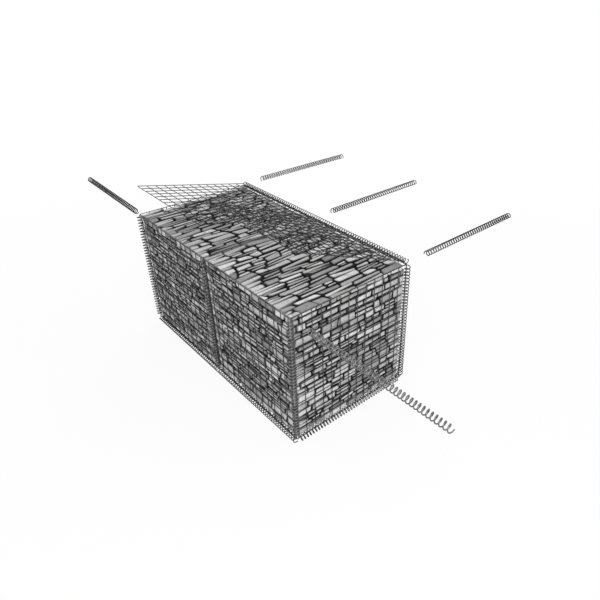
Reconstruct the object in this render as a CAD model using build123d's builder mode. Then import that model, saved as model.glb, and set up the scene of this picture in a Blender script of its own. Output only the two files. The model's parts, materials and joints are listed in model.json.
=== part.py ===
"""Welded-mesh gabion: two one-metre stone-filled cells, hinged lids ajar, lid binders drawn out.

X runs along the length, the hinged long side is at +Y, and the ground is Z = 0.
Every edge of a cell lies on a module line. Flat mesh panels stop just inside those lines,
and a spiral binder coiled round each line ties the panels that meet there.
"""

import os
from math import cos, pi, sin, sqrt, tau

from build123d import *

os.makedirs("parts", exist_ok=True)

# Module
CELL = 1000.0  # cell size between module lines, all three ways

# Welded mesh
WIRE = 4.4  # side of a square bar with the section of 5 mm round wire
EDGE_INSET = 12.5  # module line to the centre of a panel's edge wire
OPENINGS = 13  # mesh openings along each side of a panel

# Spiral binders
COIL_WIRE = 3.5  # side of a square bar with the section of 4 mm round wire
COIL_CLEARANCE = 0.6  # coil to the edge wires inside it
COIL_SIDES = 8  # straight runs in one turn
TURNS_PER_OPENING = 3  # turns of a coil between two cross wires
TURNS = 38  # turns in a fixed binder
LID_BINDER_TURNS = 40  # turns in a loose binder

# Lids
LEFT_LID_ANGLE = 12.7  # degrees above closed
RIGHT_LID_ANGLE = 22.5
LID_SHIFT_SHARE = 0.24  # lids sit this share of a coil's pitch to the left of the back panels

# Lid binders, drawn out along the edges that they close
CROSS_BINDER_DRAW = 1185.0
LEFT_BINDER_DRAW = 1041.0
RIGHT_BINDER_DRAW = 1182.0

# Stone fill
FILL_CLEARANCE = 0.3  # fill to the mesh round it
FILL_TOP_GAP = 14.0  # module line at the rim down to the top of the fill
FILL_COIL_ROOM = 6.0  # bevelled edges of the fill to the coils

# Sizes that follow from those above
MESH = (CELL - 2 * EDGE_INSET) / OPENINGS
PANEL = CELL - 2 * EDGE_INSET + WIRE
PITCH = MESH / TURNS_PER_OPENING
COIL_RISE = PITCH / COIL_SIDES
COIL_FLAT_RADIUS = EDGE_INSET + WIRE / 2 + COIL_CLEARANCE + COIL_WIRE / sqrt(2)
COIL_RADIUS = COIL_FLAT_RADIUS / cos(pi / COIL_SIDES)
LID_SHIFT = LID_SHIFT_SHARE * PITCH

# One flat panel, its wires fused where they cross
with BuildPart() as mesh_panel:
    with BuildSketch():
        with GridLocations(MESH, MESH, OPENINGS + 1, 1):
            Rectangle(WIRE, PANEL)
        with GridLocations(MESH, MESH, 1, OPENINGS + 1):
            Rectangle(PANEL, WIRE)
    extrude(amount=WIRE / 2, both=True)

# Binders, coiled round Z about the origin. Beside every cross wire a turn is on the -X side,
# away from the panels, and its flat sides face the panels' edge wires.
binders = {}
for turns in (TURNS, LID_BINDER_TURNS):
    coil_points = []
    for step in range(turns * COIL_SIDES + 1):
        height = COIL_RISE * (step + 1 / 2) - turns * PITCH / 2
        angle = pi + tau * (height - CELL / 2 + EDGE_INSET) / PITCH
        coil_points.append((COIL_RADIUS * cos(angle), COIL_RADIUS * sin(angle), height))
    with BuildPart() as binder:
        with BuildLine() as coil:
            Polyline(*coil_points)
        with BuildSketch(Plane(origin=coil.line @ 0, z_dir=coil.line % 0)):
            Rectangle(COIL_WIRE, COIL_WIRE)
        sweep(transition=Transition.RIGHT)
    binders[turns] = binder.part

# Module lines, with the lowest turns of the bottom binders on the ground
coil_box = binders[TURNS].bounding_box()
COIL_REACH = max(coil_box.max.X, coil_box.max.Y, -coil_box.min.X, -coil_box.min.Y)
BASE = COIL_REACH
RIM = BASE + CELL
MIDDLE = BASE + CELL / 2
LEFT = -CELL
RIGHT = CELL
LEFT_CENTRE = -CELL / 2
RIGHT_CENTRE = CELL / 2
FRONT = -CELL / 2
BACK = CELL / 2

# Panels of the basket, each in its module plane
panel_places = {
    "base_panel_left": Plane((LEFT_CENTRE, 0, BASE)),
    "base_panel_right": Plane((RIGHT_CENTRE, 0, BASE)),
    "front_panel_left": Plane((LEFT_CENTRE, FRONT, MIDDLE), z_dir=(0, -1, 0)),
    "front_panel_right": Plane((RIGHT_CENTRE, FRONT, MIDDLE), z_dir=(0, -1, 0)),
    "back_panel_left": Plane((LEFT_CENTRE, BACK, MIDDLE), z_dir=(0, 1, 0)),
    "back_panel_right": Plane((RIGHT_CENTRE, BACK, MIDDLE), z_dir=(0, 1, 0)),
    "end_panel_left": Plane((LEFT, 0, MIDDLE), z_dir=(-1, 0, 0)),
    "end_panel_right": Plane((RIGHT, 0, MIDDLE), z_dir=(1, 0, 0)),
    "diaphragm_panel": Plane((0, 0, MIDDLE), z_dir=(1, 0, 0)),
}
for name, place in panel_places.items():
    with BuildPart() as panel:
        with Locations(place):
            add(mesh_panel.part)
    panel.part.label = name
    export_step(panel.part, f"parts/{name}.step", write_pcurves=False)

# Lids, turned up about the module line along the top of the back
left_hinge = Location((0, BACK, RIM), (-LEFT_LID_ANGLE, 0, 0))
right_hinge = Location((0, BACK, RIM), (-RIGHT_LID_ANGLE, 0, 0))

with BuildPart() as lid_left:
    with Locations(left_hinge * Location((LEFT_CENTRE - LID_SHIFT, -CELL / 2, 0))):
        add(mesh_panel.part)
lid_left.part.label = "lid_left"
export_step(lid_left.part, "parts/lid_left.step", write_pcurves=False)

with BuildPart() as lid_right:
    with Locations(right_hinge * Location((RIGHT_CENTRE - LID_SHIFT, -CELL / 2, 0))):
        add(mesh_panel.part)
lid_right.part.label = "lid_right"
export_step(lid_right.part, "parts/lid_right.step", write_pcurves=False)

# Fixed binders: Z along the edge, X inwards between the panels that meet there
along_x = (1, 0, 0)
along_y = (0, 1, 0)
along_z = (0, 0, 1)
binder_places = {
    "corner_spiral_front_left": Plane((LEFT, FRONT, MIDDLE), (1, 1, 0), along_z),
    "corner_spiral_front_right": Plane((RIGHT, FRONT, MIDDLE), (-1, 1, 0), along_z),
    "corner_spiral_back_left": Plane((LEFT, BACK, MIDDLE), (1, -1, 0), along_z),
    "corner_spiral_back_right": Plane((RIGHT, BACK, MIDDLE), (-1, -1, 0), along_z),
    "seam_spiral_front": Plane((0, FRONT, MIDDLE), (0, 1, 0), along_z),
    "seam_spiral_back": Plane((0, BACK, MIDDLE), (0, -1, 0), along_z),
    "base_spiral_front_left": Plane((LEFT_CENTRE, FRONT, BASE), (0, 1, 1), along_x),
    "base_spiral_front_right": Plane((RIGHT_CENTRE, FRONT, BASE), (0, 1, 1), along_x),
    "base_spiral_back_left": Plane((LEFT_CENTRE, BACK, BASE), (0, -1, 1), along_x),
    "base_spiral_back_right": Plane((RIGHT_CENTRE, BACK, BASE), (0, -1, 1), along_x),
    "base_spiral_left": Plane((LEFT, 0, BASE), (1, 0, 1), along_y),
    "base_spiral_right": Plane((RIGHT, 0, BASE), (-1, 0, 1), along_y),
    "base_spiral_middle": Plane((0, 0, BASE), (0, 0, 1), along_y),
    "hinge_spiral_left": Plane((LEFT_CENTRE, BACK, RIM), (0, -1, 0), along_x),
    "hinge_spiral_right": Plane((RIGHT_CENTRE, BACK, RIM), (0, -1, 0), along_x),
}
for name, place in binder_places.items():
    with BuildPart() as spiral:
        with Locations(place):
            add(binders[TURNS])
    spiral.part.label = name
    export_step(spiral.part, f"parts/{name}.step", write_pcurves=False)

# Loose lid binders, in line with the edges that they close
lid_binder_places = {
    "lid_binder_left": Plane((LEFT, CROSS_BINDER_DRAW, RIM), (1, 0, -1), along_y),
    "lid_binder_middle": Plane((0, CROSS_BINDER_DRAW, RIM), (0, 0, -1), along_y),
    "lid_binder_right": Plane((RIGHT, CROSS_BINDER_DRAW, RIM), (-1, 0, -1), along_y),
    "lid_binder_front_left": Plane(
        (LEFT_CENTRE - LEFT_BINDER_DRAW, FRONT, RIM), (0, 1, -1), along_x
    ),
    "lid_binder_front_right": Plane(
        (RIGHT_CENTRE + RIGHT_BINDER_DRAW, FRONT, RIM), (0, 1, -1), along_x
    ),
}
for name, place in lid_binder_places.items():
    with BuildPart() as lid_binder:
        with Locations(place):
            add(binders[LID_BINDER_TURNS])
    lid_binder.part.label = name
    export_step(lid_binder.part, f"parts/{name}.step", write_pcurves=False)

# Stone fill of each cell, bedded on its base panel and bevelled where the coils run
FILL = CELL - WIRE - 2 * FILL_CLEARANCE
FILL_HEIGHT = CELL - WIRE / 2 - FILL_TOP_GAP
FILL_BEVEL = sqrt(2) * (COIL_REACH + FILL_COIL_ROOM) - WIRE - 2 * FILL_CLEARANCE
fill_bed = Plane.XY.offset(BASE + WIRE / 2)

with BuildPart() as stone_fill_left:
    with BuildSketch(fill_bed):
        with Locations((LEFT_CENTRE, 0)):
            Rectangle(FILL, FILL)
    extrude(amount=FILL_HEIGHT)
    chamfer(stone_fill_left.edges(), length=FILL_BEVEL)
stone_fill_left.part.label = "stone_fill_left"
export_step(stone_fill_left.part, "parts/stone_fill_left.step", write_pcurves=False)

with BuildPart() as stone_fill_right:
    with BuildSketch(fill_bed):
        with Locations((RIGHT_CENTRE, 0)):
            Rectangle(FILL, FILL)
    extrude(amount=FILL_HEIGHT)
    chamfer(stone_fill_right.edges(), length=FILL_BEVEL)
stone_fill_right.part.label = "stone_fill_right"
export_step(stone_fill_right.part, "parts/stone_fill_right.step", write_pcurves=False)
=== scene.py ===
"""Looks of a welded-mesh gabion: two cells packed with stone, lids ajar, lid binders drawn out.

X runs along the two cells, the hinged long side is at +Y, and the ground is Z = 0. Sizes are in metres.
"""

import json
import logging
import math
import random
from dataclasses import dataclass
from enum import Enum, IntEnum

import bmesh
import bpy
from mathutils import Matrix, Vector, noise


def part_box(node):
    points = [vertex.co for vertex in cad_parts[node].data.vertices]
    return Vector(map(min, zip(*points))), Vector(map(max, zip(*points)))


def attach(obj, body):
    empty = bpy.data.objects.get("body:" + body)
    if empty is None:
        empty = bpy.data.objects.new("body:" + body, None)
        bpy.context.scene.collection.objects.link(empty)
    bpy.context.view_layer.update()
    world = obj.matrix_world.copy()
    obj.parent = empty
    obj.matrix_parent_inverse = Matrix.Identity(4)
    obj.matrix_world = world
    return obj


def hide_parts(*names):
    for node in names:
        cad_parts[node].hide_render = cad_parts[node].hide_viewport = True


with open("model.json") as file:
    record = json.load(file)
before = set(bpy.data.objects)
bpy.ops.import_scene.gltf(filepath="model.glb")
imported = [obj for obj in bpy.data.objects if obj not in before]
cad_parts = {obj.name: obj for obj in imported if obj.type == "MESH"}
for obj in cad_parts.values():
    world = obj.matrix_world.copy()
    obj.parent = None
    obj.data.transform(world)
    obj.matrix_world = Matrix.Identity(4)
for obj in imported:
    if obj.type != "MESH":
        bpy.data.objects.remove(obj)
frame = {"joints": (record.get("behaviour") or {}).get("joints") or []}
LOG = logging.getLogger("gabion")
X = Vector((1.0, 0.0, 0.0))
Y = Vector((0.0, 1.0, 0.0))
Z = Vector((0.0, 0.0, 1.0))

# Grain: how much finer the speckle is than the clouds, its share, and where most shades lie
SPECKLE_FINENESS = 3.7
SPECKLE_SHARE = 0.35
SHADE_LOW = 0.3
SHADE_HIGH = 0.7

# Weather: the cloud level at which a patch of no cover would start, and the width of its edge
PATCH_LEVEL = 0.95
PATCH_EDGE = 0.22

# Cosine past which an edge counts as parallel to a direction
PARALLEL = 0.99


class Body(Enum):
    """Bodies that the pieces ride on."""

    BASKET = "basket"
    LEFT_LID = "left_lid"
    RIGHT_LID = "right_lid"


class Slot(Enum):
    """Material slots of the record."""

    MESH = "mesh"
    SPIRAL = "spiral"
    STONE = "stone"


class Side(Enum):
    """Sides of a cell that show stone, as the directions of courses, rise and the outside."""

    FRONT = (X, Z, -Y)
    BACK = (-X, Z, Y)
    RIGHT = (Y, Z, X)
    LEFT = (-Y, Z, -X)
    TOP = (Y, -X, Z)
    BOTTOM = (Y, X, -Z)


class Zone(IntEnum):
    """Parts of a stone that take painted shade and grime differently."""

    FACE = 0
    RIM = 1
    SIDE = 2


def group_tree(
    name: str, inputs: dict[str, str], outputs: dict[str, str]
) -> tuple[bpy.types.NodeTree, bpy.types.Node, bpy.types.Node]:
    """Starts a shader node group with named sockets.

    Args:
        name: Name of the group.
        inputs: Socket type of each input by name.
        outputs: Socket type of each output by name.

    Returns:
        The group's tree, its input node and its output node.
    """
    tree = bpy.data.node_groups.new(name, "ShaderNodeTree")
    for label, kind in inputs.items():
        tree.interface.new_socket(label, in_out="INPUT", socket_type=kind)
    for label, kind in outputs.items():
        tree.interface.new_socket(label, in_out="OUTPUT", socket_type=kind)
    return tree, tree.nodes.new("NodeGroupInput"), tree.nodes.new("NodeGroupOutput")


def add_node(
    tree: bpy.types.NodeTree, kind: str, values: dict | None = None, **settings: object
) -> bpy.types.Node:
    """Adds a node with its settings and its unlinked inputs.

    Args:
        tree: Tree that gets the node.
        kind: Blender's name of the node type.
        values: Value of each unlinked input, by name or index.
        settings: Properties of the node itself.

    Returns:
        The new node.
    """
    node = tree.nodes.new(kind)
    for label, value in settings.items():
        setattr(node, label, value)
    for label, value in (values or {}).items():
        node.inputs[label].default_value = value
    return node


def grain_group() -> bpy.types.NodeTree:
    """Builds the group for fine mineral or crystal grain.

    Returns:
        A group that puts out a shade from 0 to 1 and a height for bump.
    """
    tree, start, end = group_tree(
        "surface_grain",
        {"Vector": "NodeSocketVector", "Scale": "NodeSocketFloat", "Pits": "NodeSocketFloat"},
        {"Shade": "NodeSocketFloat", "Height": "NodeSocketFloat"},
    )
    link = tree.links.new
    coarse = add_node(tree, "ShaderNodeTexNoise", {"Detail": 6.0, "Roughness": 0.62})
    link(start.outputs["Vector"], coarse.inputs["Vector"])
    link(start.outputs["Scale"], coarse.inputs["Scale"])
    finer = add_node(tree, "ShaderNodeMath", {1: SPECKLE_FINENESS}, operation="MULTIPLY")
    link(start.outputs["Scale"], finer.inputs[0])
    cells = add_node(tree, "ShaderNodeTexVoronoi", feature="F1")
    link(start.outputs["Vector"], cells.inputs["Vector"])
    link(finer.outputs[0], cells.inputs["Scale"])
    speckle = add_node(tree, "ShaderNodeSeparateColor")
    link(cells.outputs["Color"], speckle.inputs["Color"])
    shade = add_node(tree, "ShaderNodeMix", {0: SPECKLE_SHARE}, data_type="FLOAT")
    link(coarse.outputs["Fac"], shade.inputs[2])
    link(speckle.outputs["Red"], shade.inputs[3])
    link(shade.outputs[0], end.inputs["Shade"])
    pitted = add_node(tree, "ShaderNodeMath", operation="MULTIPLY")
    link(cells.outputs["Distance"], pitted.inputs[0])
    link(start.outputs["Pits"], pitted.inputs[1])
    height = add_node(tree, "ShaderNodeMath", operation="SUBTRACT")
    link(coarse.outputs["Fac"], height.inputs[0])
    link(pitted.outputs[0], height.inputs[1])
    link(height.outputs[0], end.inputs["Height"])
    return tree


def weather_group() -> bpy.types.NodeTree:
    """Builds the group for patches that weather lays on stone and zinc.

    Returns:
        A group that puts out a mask, 1 where a patch covers the surface.
    """
    tree, start, end = group_tree(
        "weather_patches",
        {"Vector": "NodeSocketVector", "Scale": "NodeSocketFloat", "Cover": "NodeSocketFloat"},
        {"Mask": "NodeSocketFloat"},
    )
    link = tree.links.new
    shape = {"Detail": 4.0, "Roughness": 0.55, "Distortion": 0.4}
    cloud = add_node(tree, "ShaderNodeTexNoise", shape)
    link(start.outputs["Vector"], cloud.inputs["Vector"])
    link(start.outputs["Scale"], cloud.inputs["Scale"])
    low = add_node(tree, "ShaderNodeMath", {0: PATCH_LEVEL}, operation="SUBTRACT")
    link(start.outputs["Cover"], low.inputs[1])
    high = add_node(tree, "ShaderNodeMath", {1: PATCH_EDGE}, operation="ADD")
    link(low.outputs[0], high.inputs[0])
    mask = add_node(tree, "ShaderNodeMapRange", interpolation_type="SMOOTHSTEP")
    link(cloud.outputs["Fac"], mask.inputs["Value"])
    link(low.outputs[0], mask.inputs["From Min"])
    link(high.outputs[0], mask.inputs["From Max"])
    link(mask.outputs["Result"], end.inputs["Mask"])
    return tree


@dataclass(frozen=True)
class Effects:
    """Shader node groups that the finishes share."""

    grain: bpy.types.NodeTree
    weather: bpy.types.NodeTree

    @staticmethod
    def make() -> "Effects":
        """Builds both groups once."""
        return Effects(grain_group(), weather_group())


def grey(level: float) -> tuple[float, float, float, float]:
    """Gives a neutral linear colour."""
    return (level, level, level, 1.0)


def group_node(tree: bpy.types.NodeTree, group: bpy.types.NodeTree, values: dict) -> bpy.types.Node:
    """Places a shared group in a material.

    Args:
        tree: The material's tree.
        group: The shared group.
        values: Value of each unlinked input.

    Returns:
        The group's node.
    """
    node = tree.nodes.new("ShaderNodeGroup")
    node.node_tree = group
    for label, value in values.items():
        node.inputs[label].default_value = value
    return node


@dataclass(frozen=True)
class StoneFinish:
    """Dry split stone, each piece with its own tone, speckled, pitted and stained, and darkened towards
    its joints by painted shade with some grime.
    """

    name: str
    dark: float
    middle: float
    light: float
    stain: float
    # Near-black colour that rims and sides are painted towards: painted shade in the joints, with some
    # grime
    shade_and_dirt: float = 0.03
    middle_tone: float = 0.45
    tone_shift: tuple[float, float, float] = (31.0, 17.0, 23.0)
    grain_scale: float = 90.0
    pits: float = 0.35
    speckle: tuple[float, float] = (0.7, 1.22)
    stain_scale: float = 14.0
    stain_cover: float = 0.42
    stain_strength: float = 0.55
    gloss: float = 0.25
    roughness: tuple[float, float] = (0.72, 0.95)
    bump: float = 0.8
    relief: float = 0.003

    def material(self, effects: Effects) -> bpy.types.Material:
        """Builds the stone's node tree.

        Args:
            effects: The shared groups.

        Returns:
            The material.
        """
        material = bpy.data.materials.new(self.name)
        material.use_nodes = True
        tree = material.node_tree
        link = tree.links.new
        shader = tree.nodes["Principled BSDF"]
        shader.inputs["Specular IOR Level"].default_value = self.gloss
        place = add_node(tree, "ShaderNodeTexCoord")
        tone = add_node(tree, "ShaderNodeAttribute", attribute_name="stone_tone")
        own = add_node(tree, "ShaderNodeVectorMath", {1: self.tone_shift}, operation="MULTIPLY")
        link(tone.outputs["Color"], own.inputs[0])
        spot = add_node(tree, "ShaderNodeVectorMath", operation="ADD")
        link(place.outputs["Object"], spot.inputs[0])
        link(own.outputs[0], spot.inputs[1])
        ramp = add_node(tree, "ShaderNodeValToRGB")
        ramp.color_ramp.elements[0].color = grey(self.dark)
        ramp.color_ramp.elements[1].color = grey(self.light)
        ramp.color_ramp.elements.new(self.middle_tone).color = grey(self.middle)
        link(tone.outputs["Fac"], ramp.inputs["Fac"])
        grain = group_node(tree, effects.grain, {"Scale": self.grain_scale, "Pits": self.pits})
        link(spot.outputs[0], grain.inputs["Vector"])
        least, most = self.speckle
        shades = {"From Min": SHADE_LOW, "From Max": SHADE_HIGH, "To Min": least, "To Max": most}
        spread = add_node(tree, "ShaderNodeMapRange", shades)
        link(grain.outputs["Shade"], spread.inputs["Value"])
        speckled = add_node(tree, "ShaderNodeMix", {0: 1.0}, data_type="RGBA", blend_type="MULTIPLY")
        link(ramp.outputs["Color"], speckled.inputs[6])
        link(spread.outputs["Result"], speckled.inputs[7])
        patches = group_node(tree, effects.weather, {"Scale": self.stain_scale, "Cover": self.stain_cover})
        link(spot.outputs[0], patches.inputs["Vector"])
        stained = add_node(tree, "ShaderNodeMix", {7: grey(self.stain)}, data_type="RGBA")
        faint = add_node(tree, "ShaderNodeMath", {1: self.stain_strength}, operation="MULTIPLY")
        link(patches.outputs["Mask"], faint.inputs[0])
        link(faint.outputs[0], stained.inputs[0])
        link(speckled.outputs[2], stained.inputs[6])
        # Painted shade with some grime: the joint attribute mixes rims and sides towards the near-black
        # colour
        shade_and_dirt = add_node(tree, "ShaderNodeAttribute", attribute_name="joint_shade_and_dirt")
        shaded_and_soiled = add_node(tree, "ShaderNodeMix", {7: grey(self.shade_and_dirt)}, data_type="RGBA")
        link(shade_and_dirt.outputs["Fac"], shaded_and_soiled.inputs[0])
        link(stained.outputs[2], shaded_and_soiled.inputs[6])
        link(shaded_and_soiled.outputs[2], shader.inputs["Base Color"])
        smooth, coarse = self.roughness
        rough = add_node(tree, "ShaderNodeMapRange", {"To Min": smooth, "To Max": coarse})
        link(grain.outputs["Shade"], rough.inputs["Value"])
        link(rough.outputs["Result"], shader.inputs["Roughness"])
        bump = add_node(tree, "ShaderNodeBump", {"Strength": self.bump, "Distance": self.relief})
        link(grain.outputs["Height"], bump.inputs["Height"])
        link(bump.outputs["Normal"], shader.inputs["Normal"])
        return material


@dataclass(frozen=True)
class ZincFinish:
    """Galvanised wire: grey zinc with crystal spangle and dull weathered patches."""

    name: str
    dark: float
    bright: float
    dull: float
    metal: float = 0.8
    spangle_scale: float = 260.0
    pits: float = 0.15
    dull_scale: float = 22.0
    dull_cover: float = 0.45
    roughness: tuple[float, float] = (0.38, 0.62)
    bump: float = 0.25
    relief: float = 0.0003

    def material(self, effects: Effects) -> bpy.types.Material:
        """Builds the zinc's node tree.

        Args:
            effects: The shared groups.

        Returns:
            The material.
        """
        material = bpy.data.materials.new(self.name)
        material.use_nodes = True
        tree = material.node_tree
        link = tree.links.new
        shader = tree.nodes["Principled BSDF"]
        shader.inputs["Metallic"].default_value = self.metal
        place = add_node(tree, "ShaderNodeTexCoord")
        grain = group_node(tree, effects.grain, {"Scale": self.spangle_scale, "Pits": self.pits})
        link(place.outputs["Object"], grain.inputs["Vector"])
        ramp = add_node(tree, "ShaderNodeValToRGB")
        ramp.color_ramp.elements[0].position = SHADE_LOW
        ramp.color_ramp.elements[0].color = grey(self.dark)
        ramp.color_ramp.elements[1].position = SHADE_HIGH
        ramp.color_ramp.elements[1].color = grey(self.bright)
        link(grain.outputs["Shade"], ramp.inputs["Fac"])
        patches = group_node(tree, effects.weather, {"Scale": self.dull_scale, "Cover": self.dull_cover})
        link(place.outputs["Object"], patches.inputs["Vector"])
        weathered = add_node(tree, "ShaderNodeMix", {7: grey(self.dull)}, data_type="RGBA")
        link(patches.outputs["Mask"], weathered.inputs[0])
        link(ramp.outputs["Color"], weathered.inputs[6])
        link(weathered.outputs[2], shader.inputs["Base Color"])
        smooth, coarse = self.roughness
        rough = add_node(tree, "ShaderNodeMapRange", {"To Min": smooth, "To Max": coarse})
        link(patches.outputs["Mask"], rough.inputs["Value"])
        link(rough.outputs["Result"], shader.inputs["Roughness"])
        bump = add_node(tree, "ShaderNodeBump", {"Strength": self.bump, "Distance": self.relief})
        link(grain.outputs["Height"], bump.inputs["Height"])
        link(bump.outputs["Normal"], shader.inputs["Normal"])
        return material


def make_piece(name: str, bm: bmesh.types.BMesh, material: bpy.types.Material) -> bpy.types.Object:
    """Turns a finished bmesh into an object at the origin.

    Args:
        name: Name of the piece.
        bm: The shape, already in the shared frame. It is freed.
        material: Finish of the piece.

    Returns:
        The linked object.
    """
    mesh = bpy.data.meshes.new(name)
    bm.to_mesh(mesh)
    bm.free()
    return link_piece(name, mesh, material)


def link_piece(name: str, mesh: bpy.types.Mesh, material: bpy.types.Material) -> bpy.types.Object:
    """Links a finished mesh as an object at the origin.

    Args:
        name: Name of the piece.
        mesh: The shape, already in the shared frame.
        material: Finish of the piece.

    Returns:
        The linked object.
    """
    mesh.materials.append(material)
    piece = bpy.data.objects.new(name, mesh)
    bpy.context.scene.collection.objects.link(piece)
    return piece


def place_on(origin: Vector, inward: Vector, along: Vector) -> Matrix:
    """Gives the matrix that puts local Z along an edge and local X inwards.

    Args:
        origin: Where the local origin goes.
        inward: Direction of local X, not necessarily of unit length.
        along: Direction of local Z.

    Returns:
        A 4 by 4 matrix.
    """
    x_axis = inward.normalized()
    z_axis = along.normalized()
    turned = Matrix((x_axis, z_axis.cross(x_axis), z_axis)).transposed()
    return Matrix.Translation(origin) @ turned.to_4x4()


@dataclass(frozen=True)
class Module:
    """Lines that the cells, panels and binders are set out from."""

    base: float
    cell: float = 1.0

    @property
    def rim(self) -> float:
        """Height of the top module plane."""
        return self.base + self.cell

    @staticmethod
    def from_frame() -> "Module":
        """Reads the bottom module plane off the base panel."""
        low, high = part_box("base_panel_left")
        return Module(base=(low.z + high.z) / 2)


@dataclass
class WeldedPanel:
    """One square of welded mesh: line wires outside, cross wires behind them, a weld at each crossing."""

    node: str
    body: Body
    place: Matrix
    openings: int = 13
    spacing: float = 0.075
    wire: float = 0.0058
    pressed: float = 0.0014
    overhang: float = 0.0022
    weld_width_share: float = 0.62
    weld_height_share: float = 0.36
    sides: int = 10

    def build(self) -> bmesh.types.BMesh:
        """Lays out the wires and welds.

        Returns:
            The panel in the shared frame.
        """
        bm = bmesh.new()
        half = self.openings * self.spacing / 2
        layer = (self.wire - self.pressed) / 2
        stations = [index * self.spacing - half for index in range(self.openings + 1)]
        lengthways = Matrix.Rotation(math.pi / 2, 4, "X")
        crossways = Matrix.Rotation(math.pi / 2, 4, "Y")
        for station in stations:
            self.add_wire(bm, Matrix.Translation((station, 0, layer)) @ lengthways)
            self.add_wire(bm, Matrix.Translation((0, station, -layer)) @ crossways)
        for face in bm.faces:
            face.smooth = len(face.verts) == 4
        width = self.wire * self.weld_width_share
        nugget = Matrix.Diagonal((width, width, self.wire * self.weld_height_share, 1))
        for across in stations:
            for along in stations:
                matrix = Matrix.Translation((across, along, 0)) @ nugget
                bmesh.ops.create_icosphere(bm, subdivisions=1, radius=1, matrix=matrix)
        bmesh.ops.transform(bm, matrix=self.place, verts=bm.verts[:])
        return bm

    def add_wire(self, bm: bmesh.types.BMesh, matrix: Matrix) -> None:
        """Adds one straight wire with cut ends.

        Args:
            bm: The panel that gets the wire.
            matrix: Place of the wire, which is made along Z.
        """
        radius = self.wire / 2
        bmesh.ops.create_cone(
            bm,
            cap_ends=True,
            segments=self.sides,
            radius1=radius,
            radius2=radius,
            depth=self.openings * self.spacing + 2 * self.overhang,
            matrix=matrix,
        )

    def dress(self, material: bpy.types.Material) -> bpy.types.Object:
        """Makes the piece, ties it to its body and hides its node.

        Args:
            material: Finish of the wire.

        Returns:
            The piece.
        """
        piece = make_piece(f"wires_{self.node}", self.build(), material)
        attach(piece, self.body.value)
        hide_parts(self.node)
        return piece


@dataclass(frozen=True)
class CoilStock:
    """Spring wire wound into one straight coil about Z, from which the binders are taken.

    The coil starts at the angle that brings a turn to the far side of its edge beside every cross wire
    of the mesh. It may be wound on by some steps of a turn at both ends.
    """

    turns: int
    overrun: int = 0
    pitch: float = 0.025
    radius: float = 0.0192
    wire: float = 0.0068
    start: float = math.pi / 8
    steps: int = 18
    sides: int = 8

    def wind(self) -> bpy.types.Mesh:
        """Winds the wire from a round profile.

        Returns:
            The coil, centred on the origin.
        """
        bm = bmesh.new()
        steps = self.turns * self.steps + 2 * self.overrun
        rise = self.pitch / self.steps
        turn = math.tau / self.steps
        lean = math.atan(self.pitch / (math.tau * self.radius))
        foot = Matrix.Rotation(self.start - self.overrun * turn, 4, "Z")
        foot @= Matrix.Translation((self.radius, 0, -steps * rise / 2))
        upright = Matrix.Rotation(math.pi / 2 + lean, 4, "X")
        bmesh.ops.create_circle(
            bm, cap_ends=False, segments=self.sides, radius=self.wire / 2, matrix=foot @ upright
        )
        bmesh.ops.spin(
            bm,
            geom=bm.verts[:] + bm.edges[:],
            cent=(0, 0, 0),
            axis=(0, 0, 1),
            dvec=(0, 0, rise),
            angle=turn * steps,
            steps=steps,
            use_merge=False,
        )
        bmesh.ops.holes_fill(bm, edges=bm.edges[:], sides=self.sides)
        bmesh.ops.recalc_face_normals(bm, faces=bm.faces[:])
        for face in bm.faces:
            face.smooth = len(face.verts) == 4
        coil = bpy.data.meshes.new("wound_coil")
        bm.to_mesh(coil)
        bm.free()
        return coil


@dataclass
class SpiralBinder:
    """One coil that ties panel edges together."""

    node: str
    place: Matrix
    coil: bpy.types.Mesh
    bright: bool

    def dress(self, material: bpy.types.Material) -> bpy.types.Object:
        """Makes the piece, ties it to the basket and hides its node.

        Args:
            material: Finish of the wire.

        Returns:
            The piece.
        """
        bm = bmesh.new()
        bm.from_mesh(self.coil)
        bmesh.ops.transform(bm, matrix=self.place, verts=bm.verts[:])
        piece = make_piece(f"coil_{self.node}", bm, material)
        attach(piece, Body.BASKET.value)
        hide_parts(self.node)
        return piece


@dataclass(frozen=True)
class StonePlot:
    """Place of one stone on a side: its middle and the lines that part it from its neighbours."""

    middle: Vector
    joints: list[tuple[Vector, Vector]]


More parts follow.
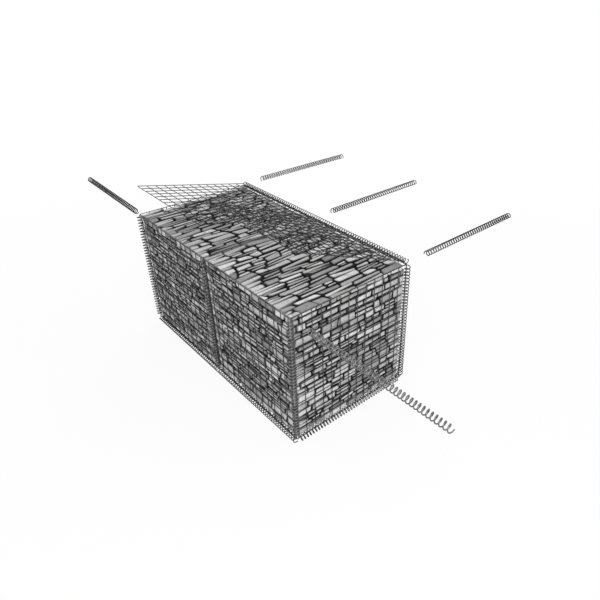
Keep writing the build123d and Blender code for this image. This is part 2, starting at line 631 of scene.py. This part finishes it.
@dataclass(frozen=True)
class Coursing:
    """Usual size of the stones of a side, the joints between them, and how they are laid."""

    length: float
    height: float
    joint: float
    rounding: float
    # How dark the rims of a side's stones are painted: painted shade of their rounded edges, with some
    # grime
    rim_shade_and_dirt: float
    wave: float = 0.009
    slant: float = 0.28
    taper: float = 0.05
    doubled: float = 0.3
    height_shares: tuple[float, float] = (0.6, 1.45)
    length_shares: tuple[float, float] = (0.5, 1.7)
    first_end_share: float = 0.6
    double_height_share: float = 0.95
    double_shares: tuple[float, float] = (0.38, 0.62)
    waves_along: float = 5.0
    waves_between_courses: float = 37.0

    def levels(self, rng: random.Random, rise: float) -> list[float]:
        """Sets out the courses.

        Args:
            rng: Source of the variation.
            rise: Size of the side across its courses.

        Returns:
            The levels between the courses, from 0 to the full rise.
        """
        levels = [0.0]
        while levels[-1] < rise:
            levels.append(levels[-1] + self.height * rng.uniform(*self.height_shares))
        return [level * rise / levels[-1] for level in levels]

    def bed(self, levels: list[float], number: int, reach: float) -> float:
        """Follows a bed joint, which is wavy unless it is the first or the last.

        Args:
            levels: The levels between the courses.
            number: Which of them the joint is.
            reach: Distance along the side.

        Returns:
            The joint's height there.
        """
        level = levels[number]
        if number in (0, len(levels) - 1):
            return level
        spot = Vector((reach * self.waves_along, level * self.waves_between_courses, self.length))
        return level + self.wave * noise.noise(spot)

    def plots(self, rng: random.Random, length: float, rise: float) -> list[StonePlot]:
        """Sets out the stones of a side in wavy courses, some of them as two thin ones.

        Args:
            rng: Source of the variation.
            length: Length of the side along its courses.
            rise: Size of the side across its courses.

        Returns:
            The stones' places.
        """
        levels = self.levels(rng, rise)
        plots = []
        for number in range(len(levels) - 1):
            ends = [-self.length * rng.uniform(0.0, self.first_end_share)]
            while ends[-1] < length:
                ends.append(ends[-1] + self.length * rng.uniform(*self.length_shares))
            slants = [rng.uniform(-self.slant, self.slant) for _ in ends]
            for index in range(len(ends) - 1):
                middle = (max(0.0, ends[index]) + min(length, ends[index + 1])) / 2
                low = self.bed(levels, number, middle)
                high = self.bed(levels, number + 1, middle)
                sides = [
                    self.line(ends[index], (low + high) / 2, -1.0, slants[index]),
                    self.line(ends[index + 1], (low + high) / 2, 1.0, -slants[index + 1]),
                ]
                beds = [low, high]
                if high - low > self.height * self.double_height_share and rng.random() < self.doubled:
                    beds.insert(1, low + (high - low) * rng.uniform(*self.double_shares))
                for under, over in zip(beds, beds[1:]):
                    floor = self.line(middle, under, rng.uniform(-self.taper, self.taper), -1.0)
                    roof = self.line(middle, over, rng.uniform(-self.taper, self.taper), 1.0)
                    plots.append(StonePlot(Vector((middle, (under + over) / 2, 0)), [*sides, floor, roof]))
        return plots

    def line(self, reach: float, height: float, across: float, up: float) -> tuple[Vector, Vector]:
        """Gives a joint line through a point, drawn in by half a joint."""
        normal = Vector((across, up, 0)).normalized()
        return Vector((reach, height, 0)) - normal * self.joint / 2, normal


WALLING = Coursing(length=0.098, height=0.047, joint=0.008, rounding=0.006, rim_shade_and_dirt=0.55)
COURSINGS = {
    Side.FRONT: WALLING,
    Side.BACK: WALLING,
    Side.RIGHT: WALLING,
    Side.LEFT: WALLING,
    Side.TOP: Coursing(
        length=0.150,
        height=0.052,
        joint=0.010,
        rounding=0.011,
        rim_shade_and_dirt=0.6,
        wave=0.016,
        slant=0.6,
        taper=0.09,
        doubled=0.5,
    ),
    Side.BOTTOM: Coursing(length=0.160, height=0.070, joint=0.010, rounding=0.011, rim_shade_and_dirt=0.6),
}


@dataclass
class StonePacking:
    """Stone of one cell: stones in rough courses on every side that shows, round a stone core painted near
    black as the shade behind the joints.
    """

    node: str
    low: Vector
    high: Vector
    sides: tuple[Side, ...]
    lines: tuple[tuple[Vector, Vector], ...]
    seed: int
    mitre: float = 0.003
    thickness: float = 0.045
    setback: tuple[float, float] = (0.003, 0.010)
    lean_along: float = 0.05
    lean_across: float = 0.09
    coil_room: float = 0.0230
    block_length_share: float = 3.2
    block_height_share: float = 4.5
    least_volume: float = 0.00001
    rounding_shares: tuple[float, float] = (0.7, 1.3)
    chip: float = 0.002
    rim_wear: tuple[float, float] = (0.0025, 0.005)
    rim_width: float = 0.008
    rim_narrow_share: float = 0.24
    rim_edge_share: float = 1.1
    rim_rise: float = 0.0015
    crown: float = 0.003
    unevenness: float = 0.0007
    sheltered_depth: float = 0.04
    least_shelter: float = 0.15
    core_inset_share: float = 0.7
    core_cuts: int = 14
    core_unevenness: float = 0.007
    seed_spacing: int = 100

    def corner(self, direction: Vector) -> Vector:
        """Gives the corner of the packing that lies furthest in a direction."""
        return Vector([self.high[i] if direction[i] > 0 else self.low[i] for i in range(3)])

    def cut(self, bm: bmesh.types.BMesh, point: Vector, normal: Vector) -> None:
        """Splits a stone along a plane and keeps what is behind it.

        Args:
            bm: The stone.
            point: A point of the plane.
            normal: Direction of the side that is taken off.
        """
        if all((vert.co - point).dot(normal) <= 0 for vert in bm.verts):
            return
        parts = bm.verts[:] + bm.edges[:] + bm.faces[:]
        made = bmesh.ops.bisect_plane(bm, geom=parts, plane_co=point, plane_no=normal, clear_outer=True)
        rim = [part for part in made["geom_cut"] if isinstance(part, bmesh.types.BMEdge)]
        if len(rim) > 2:
            bmesh.ops.contextual_create(bm, geom=rim)

    def lay_side(self, side: Side, coursing: Coursing, rng: random.Random) -> bpy.types.Mesh:
        """Lays the stones of one side.

        Args:
            side: The side of the cell.
            coursing: Usual size of its stones and joints.
            rng: Source of the variation.

        Returns:
            The stones as one mesh, with each stone's tone and the painted shade and grime in its joints.
        """
        along, across, out = side.value
        start = self.corner(out - along - across)
        far = self.corner(out + along + across)
        edges = self.edge_planes(side, start, far)
        turned = Matrix((along, across, out)).transposed().to_4x4()
        block_length = coursing.length * self.block_length_share
        block_height = coursing.height * self.block_height_share
        block = turned @ Matrix.Diagonal((block_length, block_height, self.thickness, 1))
        laid = bmesh.new()
        for plot in coursing.plots(rng, (far - start).dot(along), (far - start).dot(across)):
            joints = [
                (self.lift(side, start, point), along * normal.x + across * normal.y)
                for point, normal in plot.joints
            ]
            seat = self.lift(side, start, plot.middle)
            lean = out + along * rng.uniform(-self.lean_along, self.lean_along)
            lean += across * rng.uniform(-self.lean_across, self.lean_across)
            lean.normalize()
            face = (seat - out * rng.uniform(*self.setback), lean)
            rock = bmesh.new()
            middle = Matrix.Translation(seat - out * self.thickness / 2)
            bmesh.ops.create_cube(rock, size=1, matrix=middle @ block)
            if self.split(rock, joints):
                self.round_sides(rock, coursing.rounding * rng.uniform(*self.rounding_shares), out)
                if self.split(rock, [face, *edges]):
                    self.dress_stone(rock, rng, lean)
                    self.paint_shade_and_dirt(rock, rng, side, coursing.rim_shade_and_dirt)
                    loose = bpy.data.meshes.new("loose_stone")
                    rock.to_mesh(loose)
                    laid.from_mesh(loose)
                    bpy.data.meshes.remove(loose)
            rock.free()
        mesh = bpy.data.meshes.new("laid_stones")
        laid.to_mesh(mesh)
        laid.free()
        return mesh

    def split(self, bm: bmesh.types.BMesh, planes: list[tuple[Vector, Vector]]) -> bool:
        """Splits a block along planes.

        Args:
            bm: The block.
            planes: Points and normals of the planes.

        Returns:
            False where too little is left for a stone.
        """
        for point, normal in planes:
            self.cut(bm, point, normal)
            if len(bm.faces) < 4:
                return False
        return bm.calc_volume() > self.least_volume

    def round_sides(self, bm: bmesh.types.BMesh, radius: float, out: Vector) -> None:
        """Rounds the outline of a stone as its face shows it.

        Args:
            bm: The split block.
            radius: How much comes off its corners.
            out: Direction in which its face looks.
        """
        upright = []
        for edge in bm.edges:
            run = (edge.verts[0].co - edge.verts[1].co).normalized()
            if abs(run.dot(out)) > PARALLEL:
                upright.append(edge)
        self.wear(bm, upright, radius)

    def wear(self, bm: bmesh.types.BMesh, edges: list[bmesh.types.BMEdge], width: float) -> None:
        """Wears edges down to a flat."""
        bmesh.ops.bevel(
            bm,
            geom=edges,
            offset=width,
            offset_type="OFFSET",
            segments=1,
            profile=0.5,
            affect="EDGES",
            clamp_overlap=True,
            material=-1,
        )

    def lift(self, side: Side, start: Vector, flat: Vector) -> Vector:
        """Turns a point of a side's own plane into the shared frame."""
        along, across, _ = side.value
        return start + along * flat.x + across * flat.y

    def edge_planes(self, side: Side, start: Vector, far: Vector) -> list[tuple[Vector, Vector]]:
        """Gives the planes that end a side: mitres to other sides, plain cuts, and room for the coils.

        Args:
            side: The side of the cell.
            start: Its first corner.
            far: Its opposite corner.

        Returns:
            Points and normals of the planes.
        """
        along, across, out = side.value
        shown = [other.value[2] for other in self.sides]
        planes = []
        for direction, corner in ((-along, start), (along, far), (-across, start), (across, far)):
            if direction in shown:
                normal = (direction - out).normalized()
                planes.append((corner - normal * self.mitre / 2, normal))
            else:
                planes.append((corner, direction))
        for line_point, outward in self.lines:
            normal = outward.normalized()
            planes.append((line_point - normal * self.coil_room, normal))
        return planes

    def show_face(self, bm: bmesh.types.BMesh, lean: Vector) -> bmesh.types.BMFace:
        """Gives the face of a stone that looks out of its side."""
        return max(bm.faces, key=lambda each: each.normal.dot(lean) * each.calc_area())

    def dress_stone(self, bm: bmesh.types.BMesh, rng: random.Random, lean: Vector) -> None:
        """Wears the rim of a stone's face and crowns the face.

        Args:
            bm: The split stone.
            rng: Source of the variation.
            lean: Direction in which its face looks.
        """
        bmesh.ops.recalc_face_normals(bm, faces=bm.faces[:])
        bmesh.ops.remove_doubles(bm, verts=bm.verts[:], dist=self.chip)
        self.wear(bm, list(self.show_face(bm, lean).edges), rng.uniform(*self.rim_wear))
        bmesh.ops.remove_doubles(bm, verts=self.show_face(bm, lean).verts[:], dist=self.chip * 2)
        face = self.show_face(bm, lean)
        # Marks each part for painted shade with some grime: sides darkest, rim darker, the crowned face
        # clean
        shade_and_dirt_layer = bm.verts.layers.float.new("joint_shade_and_dirt")
        for vert in bm.verts:
            vert[shade_and_dirt_layer] = Zone.SIDE
        for vert in face.verts:
            vert[shade_and_dirt_layer] = Zone.RIM
        narrow = 2 * face.calc_area() / face.calc_perimeter()
        shortest = min(edge.calc_length() for edge in face.edges)
        rim = min(self.rim_width, narrow * self.rim_narrow_share, shortest * self.rim_edge_share)
        bmesh.ops.inset_individual(bm, faces=[face], thickness=rim, depth=self.rim_rise)
        crown = bmesh.ops.poke(bm, faces=[face], offset=rng.uniform(0.0, self.crown))
        for each in crown["faces"]:
            for vert in each.verts:
                vert[shade_and_dirt_layer] = Zone.FACE
        for vert in bm.verts:
            vert.co += Vector([rng.uniform(-self.unevenness, self.unevenness) for _ in range(3)])
        for each in bm.faces:
            each.smooth = True

    def paint_shade_and_dirt(self, bm: bmesh.types.BMesh, rng: random.Random, side: Side, rim_shade_and_dirt: float) -> None:
        """Gives a stone its own tone, and painted shade with some grime that thickens into joints but not
        at the packing's edges.

        Args:
            bm: The dressed stone.
            rng: Source of the variation.
            side: The side that it is laid on.
            rim_shade_and_dirt: How dark the rim of its face is painted, as shade and grime, from 0 to 1.
        """
        tone = bm.faces.layers.float.new("stone_tone")
        shade_and_dirt_layer = bm.verts.layers.float["joint_shade_and_dirt"]
        own = rng.random()
        for face in bm.faces:
            face[tone] = own
        # Painted shade with some grime: sides darkest, rim by the side's setting, face clean, all lighter
        # near the packing's edges and the coil room where the sides lie open
        shade_and_dirt = {Zone.FACE: 0.0, Zone.RIM: rim_shade_and_dirt, Zone.SIDE: 1.0}
        others = [each.value[2] for each in Side if each is not side]
        for vert in bm.verts:
            depth = min((self.corner(other) - vert.co).dot(other) for other in others)
            for point, outward in self.lines:
                room = (point - vert.co).dot(outward.normalized()) - self.coil_room
                depth = min(depth, room)
            shelter = min(1.0, max(self.least_shelter, depth / self.sheltered_depth))
            vert[shade_and_dirt_layer] = shade_and_dirt[Zone(round(vert[shade_and_dirt_layer]))] * shelter

    def core(self) -> bmesh.types.BMesh:
        """Builds the rubble behind the joints.

        Returns:
            A rough closed block in the shared frame.
        """
        bm = bmesh.new()
        rng = random.Random(self.seed + 1)
        inset = Vector((1, 1, 1)) * self.thickness * self.core_inset_share
        size = self.high - self.low - 2 * inset
        middle = Matrix.Translation((self.high + self.low) / 2)
        bmesh.ops.create_cube(bm, size=1, matrix=middle @ Matrix.Diagonal((*size, 1)))
        bmesh.ops.subdivide_edges(bm, edges=bm.edges[:], cuts=self.core_cuts, use_grid_fill=True)
        for vert in bm.verts:
            vert.co += Vector([rng.uniform(-self.core_unevenness, self.core_unevenness) for _ in range(3)])
        return bm

    def dress(self, stone: bpy.types.Material, shaded_rubble: bpy.types.Material) -> list[bpy.types.Object]:
        """Makes the pieces of the packing, ties them to the basket and hides the fill's node.

        Args:
            stone: Finish of the stones.
            shaded_rubble: Finish of the core, painted near black as the shade behind the joints.

        Returns:
            The pieces.
        """
        cell = self.node.rsplit("_", 1)[1]
        pieces = [make_piece(f"rubble_{cell}", self.core(), shaded_rubble)]
        for number, side in enumerate(self.sides):
            rng = random.Random(self.seed * self.seed_spacing + number)
            mesh = self.lay_side(side, COURSINGS[side], rng)
            pieces.append(link_piece(f"stones_{cell}_{side.name.lower()}", mesh, stone))
        for piece in pieces:
            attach(piece, Body.BASKET.value)
            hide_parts(self.node)
        return pieces


@dataclass
class Basket:
    """The wire work: nine fixed panels, two lids and the binders, some of them of brighter wire."""

    module: Module
    fixed_turns: int = 38
    loose_turns: int = 40
    overrun: int = 12
    fine_radius: float = 0.0190
    fine_wire: float = 0.0058
    loose_wire: float = 0.0072
    bright_binders: tuple[str, ...] = (
        "corner_spiral_front_right",
        "seam_spiral_front",
        "seam_spiral_back",
        "lid_binder_front_right",
    )

    def panels(self) -> list[WeldedPanel]:
        """Sets out every panel from its outside and the direction across its line wires.

        Returns:
            The fixed panels and the two lids.
        """
        outsides = {
            "base_panel_left": (-Z, X),
            "base_panel_right": (-Z, X),
            "front_panel_left": (-Y, X),
            "front_panel_right": (-Y, X),
            "back_panel_left": (Y, X),
            "back_panel_right": (Y, X),
            "end_panel_left": (-X, Y),
            "end_panel_right": (X, Y),
            "diaphragm_panel": (X, Y),
        }
        made = []
        for node, (out, across) in outsides.items():
            low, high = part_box(node)
            made.append(WeldedPanel(node, Body.BASKET, place_on((low + high) / 2, across, out)))
        made.append(self.lid("lid_left", Body.LEFT_LID, "left_lid_hinge"))
        made.append(self.lid("lid_right", Body.RIGHT_LID, "right_lid_hinge"))
        return made

    def lid(self, node: str, body: Body, hinge: str) -> WeldedPanel:
        """Sets out one lid from its hinge.

        Args:
            node: The lid's node.
            body: The body that it moves with.
            hinge: Name of its joint.

        Returns:
            The lid's panel.
        """
        joint = next(each for each in frame["joints"] if each["name"] == hinge)
        ajar = math.radians(joint["range_deg"][0])
        low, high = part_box(node)
        line = Vector(((low.x + high.x) / 2, joint["pos_m"][1], joint["pos_m"][2]))
        flat = Matrix.Translation((0, -self.module.cell / 2, 0))
        place = Matrix.Translation(line) @ Matrix.Rotation(ajar, 4, "X") @ flat
        return WeldedPanel(node, body, place)

    def binders(self) -> list[SpiralBinder]:
        """Sets out every binder: local Z along its edge, local X inwards.

        The long base binders and the hinge binders run on towards the corners. The seam and hinge
        binders are of finer wire, which leaves room for the diaphragm and the swing of the lids.

        Returns:
            The binders.
        """
        edges = {
            "corner_spiral_front_left": (X + Y, Z),
            "corner_spiral_front_right": (Y - X, Z),
            "corner_spiral_back_left": (X - Y, Z),
            "corner_spiral_back_right": (-X - Y, Z),
            "seam_spiral_front": (Y, Z),
            "seam_spiral_back": (-Y, Z),
            "base_spiral_front_left": (Y + Z, X),
            "base_spiral_front_right": (Y + Z, X),
            "base_spiral_back_left": (Z - Y, X),
            "base_spiral_back_right": (Z - Y, X),
            "base_spiral_left": (X + Z, Y),
            "base_spiral_right": (Z - X, Y),
            "base_spiral_middle": (Z, Y),
            "hinge_spiral_left": (-Y, X),
            "hinge_spiral_right": (-Y, X),
            "lid_binder_left": (X - Z, Y),
            "lid_binder_middle": (-Z, Y),
            "lid_binder_right": (-X - Z, Y),
            "lid_binder_front_left": (Y - Z, X),
            "lid_binder_front_right": (Y - Z, X),
        }
        turns = self.fixed_turns
        fine = {"radius": self.fine_radius, "wire": self.fine_wire}
        plain = CoilStock(turns).wind()
        cornering = CoilStock(turns, self.overrun).wind()
        coils = {
            "corner": plain,
            "seam": CoilStock(turns, **fine).wind(),
            "base": plain,
            "hinge": CoilStock(turns, self.overrun, **fine).wind(),
            "lid": CoilStock(self.loose_turns, radius=self.fine_radius, wire=self.loose_wire).wind(),
        }
        made = []
        for node, (inward, along) in edges.items():
            low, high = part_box(node)
            kind = node.split("_")[0]
            coil = cornering if kind == "base" and along is X else coils[kind]
            place = place_on((low + high) / 2, inward, along)
            made.append(SpiralBinder(node, place, coil, node in self.bright_binders))
        return made


@dataclass
class Fill:
    """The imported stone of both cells."""

    module: Module
    behind_mesh: float = 0.007
    below_rim: float = 0.012

    def packings(self) -> list[StonePacking]:
        """Sets out the two packings, which meet at the diaphragm."""
        return [
            self.packing("stone_fill_left", hand=-1, seed=11),
            self.packing("stone_fill_right", hand=1, seed=29),
        ]

    def packing(self, node: str, hand: int, seed: int) -> StonePacking:
        """Sets out one packing.

        Args:
            node: The fill's node.
            hand: -1 for the left cell, 1 for the right one.
            seed: Start of its random variation.

        Returns:
            The packing.
        """
        cell = self.module.cell
        gap = self.behind_mesh
        base = self.module.base
        rim = self.module.rim
        ends = sorted((0.0, hand * cell))
        low = Vector((ends[0] + gap, -cell / 2 + gap, base + gap))
        high = Vector((ends[1] - gap, cell / 2 - gap, rim - self.below_rim))
        sides = (Side.FRONT, Side.BACK, Side.TOP, Side.BOTTOM, Side.RIGHT if hand > 0 else Side.LEFT)
        lines = []
        for x, x_out in ((ends[0], -X), (ends[1], X)):
            for y, y_out in ((-cell / 2, -Y), (cell / 2, Y)):
                lines.append((Vector((x, y, base)), x_out + y_out))
            lines.append((Vector((x, 0, base)), x_out - Z))
        lines.append((Vector((0, -cell / 2, base)), -Y - Z))
        lines.append((Vector((0, cell / 2, base)), Y - Z))
        lines.append((Vector((0, cell / 2, rim)), Y + Z))
        return StonePacking(node, low, high, sides, tuple(lines), seed)


@dataclass
class Studio:
    """White floor, soft light and the camera."""

    white: float = 1.0
    fill: float = 0.62
    floor_size: float = 60.0
    floor_tone: float = 0.90
    lens: float = 33.13
    sensor: float = 36.0
    shift: tuple[float, float] = (-0.0703, 0.005)

    def floor(self) -> None:
        """Lays a white floor that keeps a faint shadow round the basket."""
        bm = bmesh.new()
        bmesh.ops.create_grid(bm, x_segments=1, y_segments=1, size=self.floor_size)
        material = bpy.data.materials.new("studio_floor")
        material.use_nodes = True
        tree = material.node_tree
        shader = tree.nodes["Principled BSDF"]
        shader.inputs["Base Color"].default_value = grey(self.floor_tone)
        shader.inputs["Roughness"].default_value = 0.9
        shader.inputs["Specular IOR Level"].default_value = 0.0
        glow = add_node(tree, "ShaderNodeEmission", {"Color": grey(1.0), "Strength": self.white})
        coords = add_node(tree, "ShaderNodeTexCoord")
        reach = add_node(tree, "ShaderNodeVectorMath", operation="LENGTH")
        tree.links.new(coords.outputs["Object"], reach.inputs[0])
        fade = {"From Min": 1.5, "From Max": 5.0, "To Min": 0.9, "To Max": 1.0}
        plain = add_node(tree, "ShaderNodeMapRange", fade)
        tree.links.new(reach.outputs["Value"], plain.inputs["Value"])
        seen = add_node(tree, "ShaderNodeMath", operation="MULTIPLY")
        tree.links.new(self.seen_rays(tree), seen.inputs[0])
        tree.links.new(plain.outputs["Result"], seen.inputs[1])
        both = add_node(tree, "ShaderNodeMixShader")
        tree.links.new(seen.outputs[0], both.inputs[0])
        tree.links.new(shader.outputs[0], both.inputs[1])
        tree.links.new(glow.outputs[0], both.inputs[2])
        tree.links.new(both.outputs[0], tree.nodes["Material Output"].inputs["Surface"])
        make_piece("studio_floor", bm, material)

    def seen_rays(self, tree: bpy.types.NodeTree) -> bpy.types.NodeSocket:
        """Tells the rays from the camera, reflections and glass, which see plain white, from the light.

        Args:
            tree: Tree of the floor's material or the world.

        Returns:
            A socket that gives 1 for those rays.
        """
        path = add_node(tree, "ShaderNodeLightPath")
        shiny = add_node(tree, "ShaderNodeMath", operation="MAXIMUM")
        tree.links.new(path.outputs["Is Glossy Ray"], shiny.inputs[0])
        tree.links.new(path.outputs["Is Transmission Ray"], shiny.inputs[1])
        seen = add_node(tree, "ShaderNodeMath", operation="MAXIMUM")
        tree.links.new(path.outputs["Is Camera Ray"], seen.inputs[0])
        tree.links.new(shiny.outputs[0], seen.inputs[1])
        return seen.outputs[0]

    def sky(self) -> None:
        """Sets an even grey light, seen as white."""
        world = bpy.data.worlds.new("studio_sky")
        world.use_nodes = True
        tree = world.node_tree
        light = tree.nodes["Background"]
        light.inputs["Color"].default_value = grey(1.0)
        light.inputs["Strength"].default_value = self.fill
        white = add_node(tree, "ShaderNodeBackground", {"Color": grey(1.0), "Strength": self.white})
        both = add_node(tree, "ShaderNodeMixShader")
        tree.links.new(self.seen_rays(tree), both.inputs[0])
        tree.links.new(light.outputs[0], both.inputs[1])
        tree.links.new(white.outputs[0], both.inputs[2])
        tree.links.new(both.outputs[0], tree.nodes["World Output"].inputs["Surface"])
        bpy.context.scene.world = world

    def lamp(self, name: str, watts: float, size: float, place: Vector, target: Vector) -> None:
        """Hangs one soft square lamp.

        Args:
            name: Name of the lamp.
            watts: Its power.
            size: Length of its sides.
            place: Where it hangs.
            target: What it points at.
        """
        data = bpy.data.lights.new(name, "AREA")
        data.energy = watts
        data.size = size
        lamp = bpy.data.objects.new(name, data)
        lamp.location = place
        lamp.rotation_euler = (target - place).to_track_quat("-Z", "Y").to_euler()
        bpy.context.scene.collection.objects.link(lamp)

    def camera(self, module: Module) -> None:
        """Sets the camera at the photograph's place, with its framing.

        Args:
            module: The module lines, whose bottom plane the camera's height is taken from.
        """
        data = bpy.data.cameras.new("camera")
        data.lens = self.lens
        data.sensor_width = self.sensor
        data.shift_x, data.shift_y = self.shift
        camera = bpy.data.objects.new("camera", data)
        right = Vector((0.6649, 0.7469, 0.0))
        up = Vector((-0.4023, 0.3581, 0.8425))
        turned = Matrix((right, up, right.cross(up))).transposed().to_4x4()
        stand = Matrix.Translation((3.165, -2.021, 2.779 + module.base))
        camera.matrix_world = stand @ turned
        bpy.context.scene.collection.objects.link(camera)
        bpy.context.scene.camera = camera

    def build(self, module: Module) -> None:
        """Makes the floor, the light and the camera.

        Args:
            module: The module lines.
        """
        self.floor()
        self.sky()
        middle = Vector((0.0, 0.0, 0.6))
        self.lamp("key", watts=210.0, size=3.5, place=Vector((4.3, -2.6, 4.2)), target=middle)
        self.lamp("rear", watts=90.0, size=3.0, place=Vector((-3.5, 3.5, 3.5)), target=middle)
        self.camera(module)
        bpy.context.scene.view_settings.view_transform = "Standard"


def main() -> None:
    """Builds the studio, the wire work and the stone, and reports every piece."""
    logging.basicConfig(level=logging.INFO, format="%(message)s")
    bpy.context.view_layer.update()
    module = Module.from_frame()
    Studio().build(module)
    effects = Effects.make()
    zinc = ZincFinish("zinc_mesh", dark=0.02, bright=0.09, dull=0.05).material(effects)
    # The lids' zinc is a darker copy of the mesh zinc: painted shade that darkens the area under the lids
    shaded_lid_zinc = ZincFinish("zinc_lid_painted_shade", dark=0.015, bright=0.06, dull=0.035).material(effects)
    spring = ZincFinish("zinc_spring", dark=0.02, bright=0.09, dull=0.045).material(effects)
    bright_spring = ZincFinish("zinc_bright_spring", dark=0.06, bright=0.30, dull=0.16).material(effects)
    # The split stone's near-black joint colour is painted shade in the gaps between stones, with some
    # grime
    split_stone = StoneFinish("split_stone", dark=0.26, middle=0.52, light=0.78, stain=0.26, shade_and_dirt=0.012)
    stone = split_stone.material(effects)
    # The core's near-black finish is painted shade behind the joints
    shaded_rubble = StoneFinish("rubble_core_painted_shade", dark=0.03, middle=0.04, light=0.05, stain=0.02).material(effects)
    basket = Basket(module)
    for panel in basket.panels():
        finish = zinc if panel.body is Body.BASKET else shaded_lid_zinc
        LOG.info("panel %s", panel.dress(finish).name)
    for binder in basket.binders():
        finish = bright_spring if binder.bright else spring
        LOG.info("binder %s", binder.dress(finish).name)
    for packing in Fill(module).packings():
        for piece in packing.dress(stone, shaded_rubble):
            LOG.info("stone %s", piece.name)


if __name__ == "__main__":
    main()
